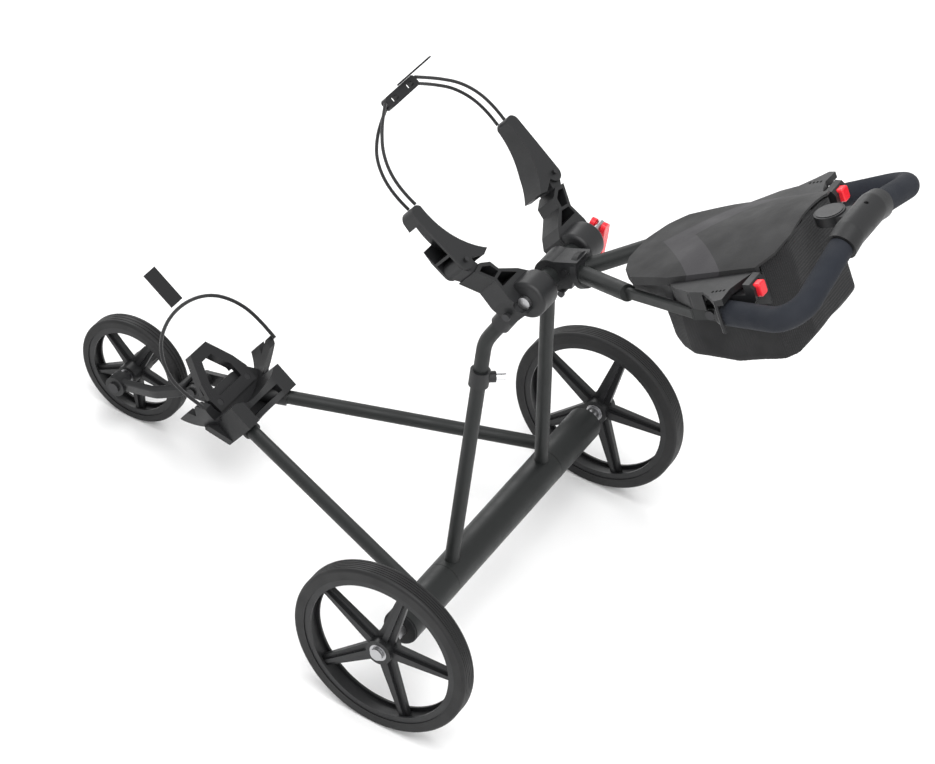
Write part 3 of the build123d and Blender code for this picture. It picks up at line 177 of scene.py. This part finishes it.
def plain(name, color, low, high, grain, depth, metallic=0.0, coat=0.0):
    """A procedural finish: slightly uneven colour and roughness over a fine grain."""
    nodes = Nodes(name)
    nodes.set(Metallic=metallic, Coat_Weight=coat)
    patches = nodes.noise(9.0)
    darker = [c * 0.88 for c in color]
    lighter = [min(1.0, c * 1.12) for c in color]
    nodes.link(nodes.mix(patches, darker, lighter), nodes.shader.inputs["Base Color"])
    nodes.link(nodes.spread(nodes.noise(30.0, 6.0), low, high), nodes.shader.inputs["Roughness"])
    nodes.bump(nodes.noise(1 / grain, 2.0), depth)
    return nodes.material


def woven(name, color, pitch, depth, sheen=0.3):
    """Two crossed thread waves with small colour changes."""
    nodes = Nodes(name)
    nodes.set(Sheen_Weight=sheen, Sheen_Roughness=0.5)
    scale = 1 / pitch
    first = nodes.add("ShaderNodeTexWave", bands_direction="X", Scale=scale * 0.32, Distortion=0.4)
    second = nodes.add("ShaderNodeTexWave", bands_direction="Y", Scale=scale * 0.32, Distortion=0.4)
    nodes.link(nodes.coordinates(), first.inputs["Vector"])
    nodes.link(nodes.coordinates(), second.inputs["Vector"])
    threads = nodes.add("ShaderNodeMath", operation="MULTIPLY")
    nodes.link(first.outputs["Fac"], threads.inputs[0])
    nodes.link(second.outputs["Fac"], threads.inputs[1])
    darker = [c * 0.7 for c in color]
    lighter = [min(1.0, c * 1.25) for c in color]
    nodes.link(nodes.mix(threads.outputs[0], darker, lighter), nodes.shader.inputs["Base Color"])
    nodes.link(nodes.spread(nodes.noise(20.0), 0.75, 0.92), nodes.shader.inputs["Roughness"])
    nodes.bump(threads.outputs[0], depth)
    return nodes.material


def cover_material(pitch):
    """Woven cover with a broad, slightly lighter chevron across its top."""
    nodes = Nodes("cover")
    nodes.set(Sheen_Weight=0.03, Sheen_Roughness=0.5)
    split = nodes.add("ShaderNodeSeparateXYZ")
    nodes.link(nodes.coordinates(), split.inputs["Vector"])
    side = nodes.add("ShaderNodeMath", operation="ABSOLUTE")
    nodes.link(split.outputs["Y"], side.inputs[0])
    slanted = nodes.add("ShaderNodeMath", operation="MULTIPLY_ADD")
    slanted.inputs[1].default_value = CHEVRON_SLANT
    nodes.link(side.outputs[0], slanted.inputs[0])
    nodes.link(split.outputs["X"], slanted.inputs[2])
    band = nodes.add("ShaderNodeMath", operation="ADD")
    band.inputs[1].default_value = CHEVRON_PLACE
    nodes.link(slanted.outputs[0], band.inputs[0])
    distance = nodes.add("ShaderNodeMath", operation="ABSOLUTE")
    nodes.link(band.outputs[0], distance.inputs[0])
    inside = nodes.add("ShaderNodeMath", operation="LESS_THAN")
    inside.inputs[1].default_value = CHEVRON_HALF_WIDTH
    nodes.link(distance.outputs[0], inside.inputs[0])
    grain = nodes.noise(1 / pitch, 2.0)
    nodes.link(nodes.mix(inside.outputs[0], (0.0165, 0.0165, 0.0170), (0.036, 0.0345, 0.0375)),
               nodes.shader.inputs["Base Color"])
    nodes.link(nodes.spread(nodes.noise(18.0), 0.62, 0.8), nodes.shader.inputs["Roughness"])
    nodes.bump(grain, 0.0003)
    return nodes.material


def rubber(name, color, low, high, scale, depth):
    nodes = Nodes(name)
    cells = nodes.add("ShaderNodeTexVoronoi", Scale=scale)
    nodes.link(nodes.coordinates(), cells.inputs["Vector"])
    darker = [c * 0.8 for c in color]
    nodes.link(nodes.mix(nodes.noise(12.0), darker, color), nodes.shader.inputs["Base Color"])
    nodes.link(nodes.spread(nodes.noise(25.0), low, high), nodes.shader.inputs["Roughness"])
    nodes.bump(cells.outputs["Distance"], depth)
    return nodes.material


# ---- geometry helpers ----
def show(piece, material):
    """Gives one CAD node its finish and smooth shading with crisp corners."""
    piece.data.materials.clear()
    piece.data.materials.append(material)
    for face in piece.data.polygons:
        face.use_smooth = True
    if len(piece.data.polygons) > 0:
        piece.data.set_sharp_from_angle(angle=math.radians(SHARP_ANGLE))


def finish_group(names, material):
    for name in names:
        show(frame["nodes"][name], material)


def link_object(obj):
    bpy.context.scene.collection.objects.link(obj)
    return obj


def bake(obj):
    """Applies the modifiers or the bevel of an object and returns its mesh."""
    evaluated = obj.evaluated_get(bpy.context.evaluated_depsgraph_get())
    return bpy.data.meshes.new_from_object(evaluated)


def joint(name):
    return next(row for row in frame["record"]["behaviour"]["joints"] if row["name"] == name)


def mount(name):
    return next(row for row in frame["record"]["mounts"] if row["name"] == name)


def leaning(origin, points):
    """Points given in the plane across the bag's axis, in metres: up the cart, to the left, along the bag."""
    along = Vector(mount("bag_cradle")["axis"])
    up = Vector((along.z, 0, -along.x))
    return [origin + up * u + Vector((0, y, 0)) + along * v for u, y, v in points]


def flowing(points, steps=12):
    """A smooth line that starts and ends at the first and last point and is drawn towards the others."""
    line = [points[0]]
    for number in range(1, len(points) - 1):
        before, middle, after = points[number - 1:number + 2]
        first = before if number == 1 else (before + middle) / 2
        last = after if number == len(points) - 2 else (middle + after) / 2
        for step in range(1, steps + 1):
            t = step / steps
            line.append(first * (1 - t) ** 2 + middle * 2 * t * (1 - t) + last * t ** 2)
    return line


def make_cord(name, points, diameter, material, node):
    """A round cord along a smooth line, standing for one CAD cord."""
    line = flowing(points)
    curve = bpy.data.curves.new(name, "CURVE")
    curve.dimensions = "3D"
    curve.bevel_depth = diameter / 2
    curve.bevel_resolution = 4
    curve.use_fill_caps = True
    spline = curve.splines.new("POLY")
    spline.points.add(len(line) - 1)
    for place, point in zip(spline.points, line):
        place.co = (*point, 1)
    holder = link_object(bpy.data.objects.new(name + "_line", curve))
    bpy.context.view_layer.update()
    piece = link_object(bpy.data.objects.new(name, bake(holder)))
    bpy.data.objects.remove(holder)
    piece.data.materials.clear()
    piece.data.materials.append(material)
    for face in piece.data.polygons:
        face.use_smooth = True
    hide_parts(node)
    return piece, line


def pieces_of(slot):
    return [row["node"] for row in frame["record"]["subparts"] if row["material_slot"] == slot]


# ---- operators ----
class CartOperator:
    """Shared options of the cart's operators."""
    bl_options = {"REGISTER", "UNDO"}


class CART_OT_tubes(CartOperator, bpy.types.Operator):
    """Gives the frame tubes their charcoal powder coat"""
    bl_idname = "cart.tubes"
    bl_label = "Frame tubes"

    def execute(self, context):
        coat = plain("powder_coat", (0.0120, 0.0134, 0.0132), 0.40, 0.52, 0.0006, 0.00006, metallic=0.1)
        finish_group(pieces_of("painted_tube"), coat)
        finish_group(pieces_of("core_tube"), plain("core", (0.35, 0.35, 0.36), 0.3, 0.4, 0.002, 0.00003, 1.0))
        return {"FINISHED"}


class CART_OT_plastics(CartOperator, bpy.types.Operator):
    """Gives the moulded parts their fine texture and the levers and buttons their accent colour"""
    bl_idname = "cart.plastics"
    bl_label = "Plastic parts"

    def execute(self, context):
        settings = context.scene.push_cart
        moulded = plain("moulded", (0.0125, 0.0128, 0.0136), 0.38, 0.5, settings.grain, 0.00012)
        finish_group(pieces_of("moulded_plastic"), moulded)
        satin = plain("satin", (0.009, 0.009, 0.010), 0.26, 0.36, settings.grain, 0.00004)
        finish_group(pieces_of("satin_plastic"), satin)
        accent = plain("accent", (0.80, 0.022, 0.035), 0.26, 0.36, settings.grain, 0.00003, coat=0.2)
        finish_group(pieces_of("accent_plastic"), accent)
        return {"FINISHED"}


class CART_OT_metals(CartOperator, bpy.types.Operator):
    """Gives the axles, bolts and the accessory post their metal finish"""
    bl_idname = "cart.metals"
    bl_label = "Metal parts"

    def execute(self, context):
        steel = plain("steel", (0.42, 0.42, 0.43), 0.25, 0.4, 0.004, 0.00003, metallic=1.0)
        finish_group(pieces_of("steel"), steel)
        dark = plain("dark_steel", (0.05, 0.05, 0.052), 0.35, 0.45, 0.004, 0.00003, metallic=0.8)
        finish_group(DARK_METAL, dark)
        chrome = plain("chrome", (0.8, 0.8, 0.82), 0.06, 0.14, 0.01, 0.00001, metallic=1.0)
        finish_group(pieces_of("chrome_post"), chrome)
        return {"FINISHED"}


class CART_OT_rubber(CartOperator, bpy.types.Operator):
    """Gives the tyres, foam grips and tags their rubber finish"""
    bl_idname = "cart.rubber"
    bl_label = "Tyres and foam"

    def execute(self, context):
        tyre = rubber("tyre", (0.0095, 0.0095, 0.0100), 0.5, 0.62, 900.0, 0.00008)
        finish_group(pieces_of("tyre_rubber"), tyre)
        foam = rubber("foam", (0.0100, 0.0125, 0.0190), 0.74, 0.88, 1400.0, 0.0002)
        finish_group(pieces_of("foam"), foam)
        finish_group(pieces_of("tag_rubber"), rubber("tag", (0.007, 0.007, 0.008), 0.5, 0.62, 700.0, 0.00005))
        return {"FINISHED"}


class CART_OT_cords(CartOperator, bpy.types.Operator):
    """Gives the elastic cords their braided cover"""
    bl_idname = "cart.cords"
    bl_label = "Elastic cords"

    def execute(self, context):
        settings = context.scene.push_cart
        braid = woven("braid", (0.010, 0.010, 0.011), settings.weave * 0.6, 0.0003)
        hub = Vector(joint("handle_fold")["pos_m"])
        thick = settings.cord_diameter
        for kind, points in (("upper", UPPER_ROUTE), ("lower", LOWER_ROUTE)):
            for side, sign in (("left", 1), ("right", -1)):
                placed = leaning(hub, [(u, y * sign, v) for u, y, v in points])
                node = "bungee_" + kind + "_" + side
                piece, line = make_cord(node + "_braid", placed, thick, braid, node)
                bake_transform(piece)
        floor = mount("bag_base")
        along = Vector(floor["axis"])
        foot = Vector(floor["pos_m"]) + along * FLOOR_TO_STRAP_PLANE
        foot += Vector((along.z, 0, -along.x)) * FLOOR_TO_STRAP_MIDDLE
        ring = STRAP_HALF + [(u, -y, v) for u, y, v in reversed(STRAP_HALF)]
        piece, line = make_cord("lower_strap_braid", leaning(foot, ring), settings.strap_diameter, braid,
                                "lower_strap_cord")
        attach(piece, "base_frame")
        return {"FINISHED"}


class CART_OT_fabrics(CartOperator, bpy.types.Operator):
    """Makes the storage bag's soft folds and gives the bag and its cover their fabric"""
    bl_idname = "cart.fabrics"
    bl_label = "Bag and cover"

    def execute(self, context):
        settings = context.scene.push_cart
        show(frame["nodes"]["console_lid"], cover_material(settings.weave))
        cloth = woven("bag_cloth", (0.015, 0.015, 0.016), settings.weave, 0.0005, sheen=0.05)
        source = frame["nodes"]["storage_bag"]
        bag = link_object(bpy.data.objects.new("storage_bag_cloth", source.data.copy()))
        remesh = bag.modifiers.new("even", "REMESH")
        remesh.mode = "VOXEL"
        remesh.voxel_size = BAG_VOXEL
        smooth = bag.modifiers.new("soft", "SMOOTH")
        smooth.iterations = BAG_SMOOTHING
        bag.data = bake(bag)
        bag.modifiers.clear()
        folds = bpy.data.textures.new("folds", "CLOUDS")
        folds.noise_scale = FOLD_SIZE
        folds.noise_depth = 1
        wrinkle = bag.modifiers.new("folds", "DISPLACE")
        wrinkle.texture = folds
        wrinkle.strength = -settings.fold_depth
        wrinkle.mid_level = 0.0
        bag.data = bake(bag)
        bag.modifiers.clear()
        bag.data.materials.clear()
        bag.data.materials.append(cloth)
        for face in bag.data.polygons:
            face.use_smooth = True
        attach(bag, "handle")
        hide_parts("storage_bag")
        return {"FINISHED"}


class CART_OT_stage(CartOperator, bpy.types.Operator):
    """Adds the pale floor, the soft lights and the camera"""
    bl_idname = "cart.stage"
    bl_label = "Studio stage"

    def execute(self, context):
        settings = context.scene.push_cart
        floor_mesh = bpy.data.meshes.new("floor")
        reach = FLOOR_REACH
        corners = [(-reach, -reach, 0), (reach, -reach, 0), (reach, reach, 0), (-reach, reach, 0)]
        floor_mesh.from_pydata(corners, [], [(0, 1, 2, 3)])
        floor = link_object(bpy.data.objects.new("floor", floor_mesh))
        paint = Nodes("floor_paint")
        tone = settings.floor_brightness
        paint.set(Base_Color=(tone, tone, tone, 1), Roughness=0.8)
        paint.shader.inputs["Specular IOR Level"].default_value = 0.1
        floor_mesh.materials.append(paint.material)
        for name, place, size, share, aim in LAMPS:
            lamp = bpy.data.lights.new(name, "AREA")
            lamp.size = size
            lamp.energy = settings.light_power * share
            holder = link_object(bpy.data.objects.new(name, lamp))
            holder.location = place
            holder.rotation_euler = (Vector(aim) - Vector(place)).to_track_quat("-Z", "Y").to_euler()
        world = bpy.data.worlds.new("studio")
        world.use_nodes = True
        background = world.node_tree.nodes["Background"]
        background.inputs["Color"].default_value = (1, 1, 1, 1)
        background.inputs["Strength"].default_value = WORLD_STRENGTH
        context.scene.world = world
        context.scene.view_settings.view_transform = "Standard"
        camera = bpy.data.cameras.new("camera")
        camera.lens = settings.lens
        camera.sensor_width = 36
        camera.sensor_fit = "HORIZONTAL"
        camera.clip_end = 50
        eye = link_object(bpy.data.objects.new("camera", camera))
        eye.location = EYE_PLACE
        eye.rotation_euler = [math.radians(angle) for angle in EYE_TURN]
        context.scene.camera = eye
        return {"FINISHED"}


class CART_PT_panel(bpy.types.Panel):
    """Sizes and steps of the push cart"""
    bl_label = "Push Cart"
    bl_idname = "CART_PT_panel"
    bl_space_type = "VIEW_3D"
    bl_region_type = "UI"
    bl_category = "Push Cart"

    def draw(self, context):
        settings = context.scene.push_cart
        for name in PushCartSettings.__annotations__:
            self.layout.prop(settings, name)
        for step in STEPS:
            self.layout.operator(step.bl_idname)


STEPS = (CART_OT_tubes, CART_OT_plastics, CART_OT_metals, CART_OT_rubber, CART_OT_cords, CART_OT_fabrics,
         CART_OT_stage)
CLASSES = (PushCartSettings, *STEPS, CART_PT_panel)


def register():
    for cls in CLASSES:
        bpy.utils.register_class(cls)
    bpy.types.Scene.push_cart = bpy.props.PointerProperty(type=PushCartSettings)


def unregister():
    del bpy.types.Scene.push_cart
    for cls in reversed(CLASSES):
        bpy.utils.unregister_class(cls)


def main():
    register()
    for step in STEPS:
        group, name = step.bl_idname.split(".")
        if getattr(getattr(bpy.ops, group), name)() != {"FINISHED"}:
            raise RuntimeError(step.bl_idname + " did not finish")


if __name__ == "__main__":
    main()
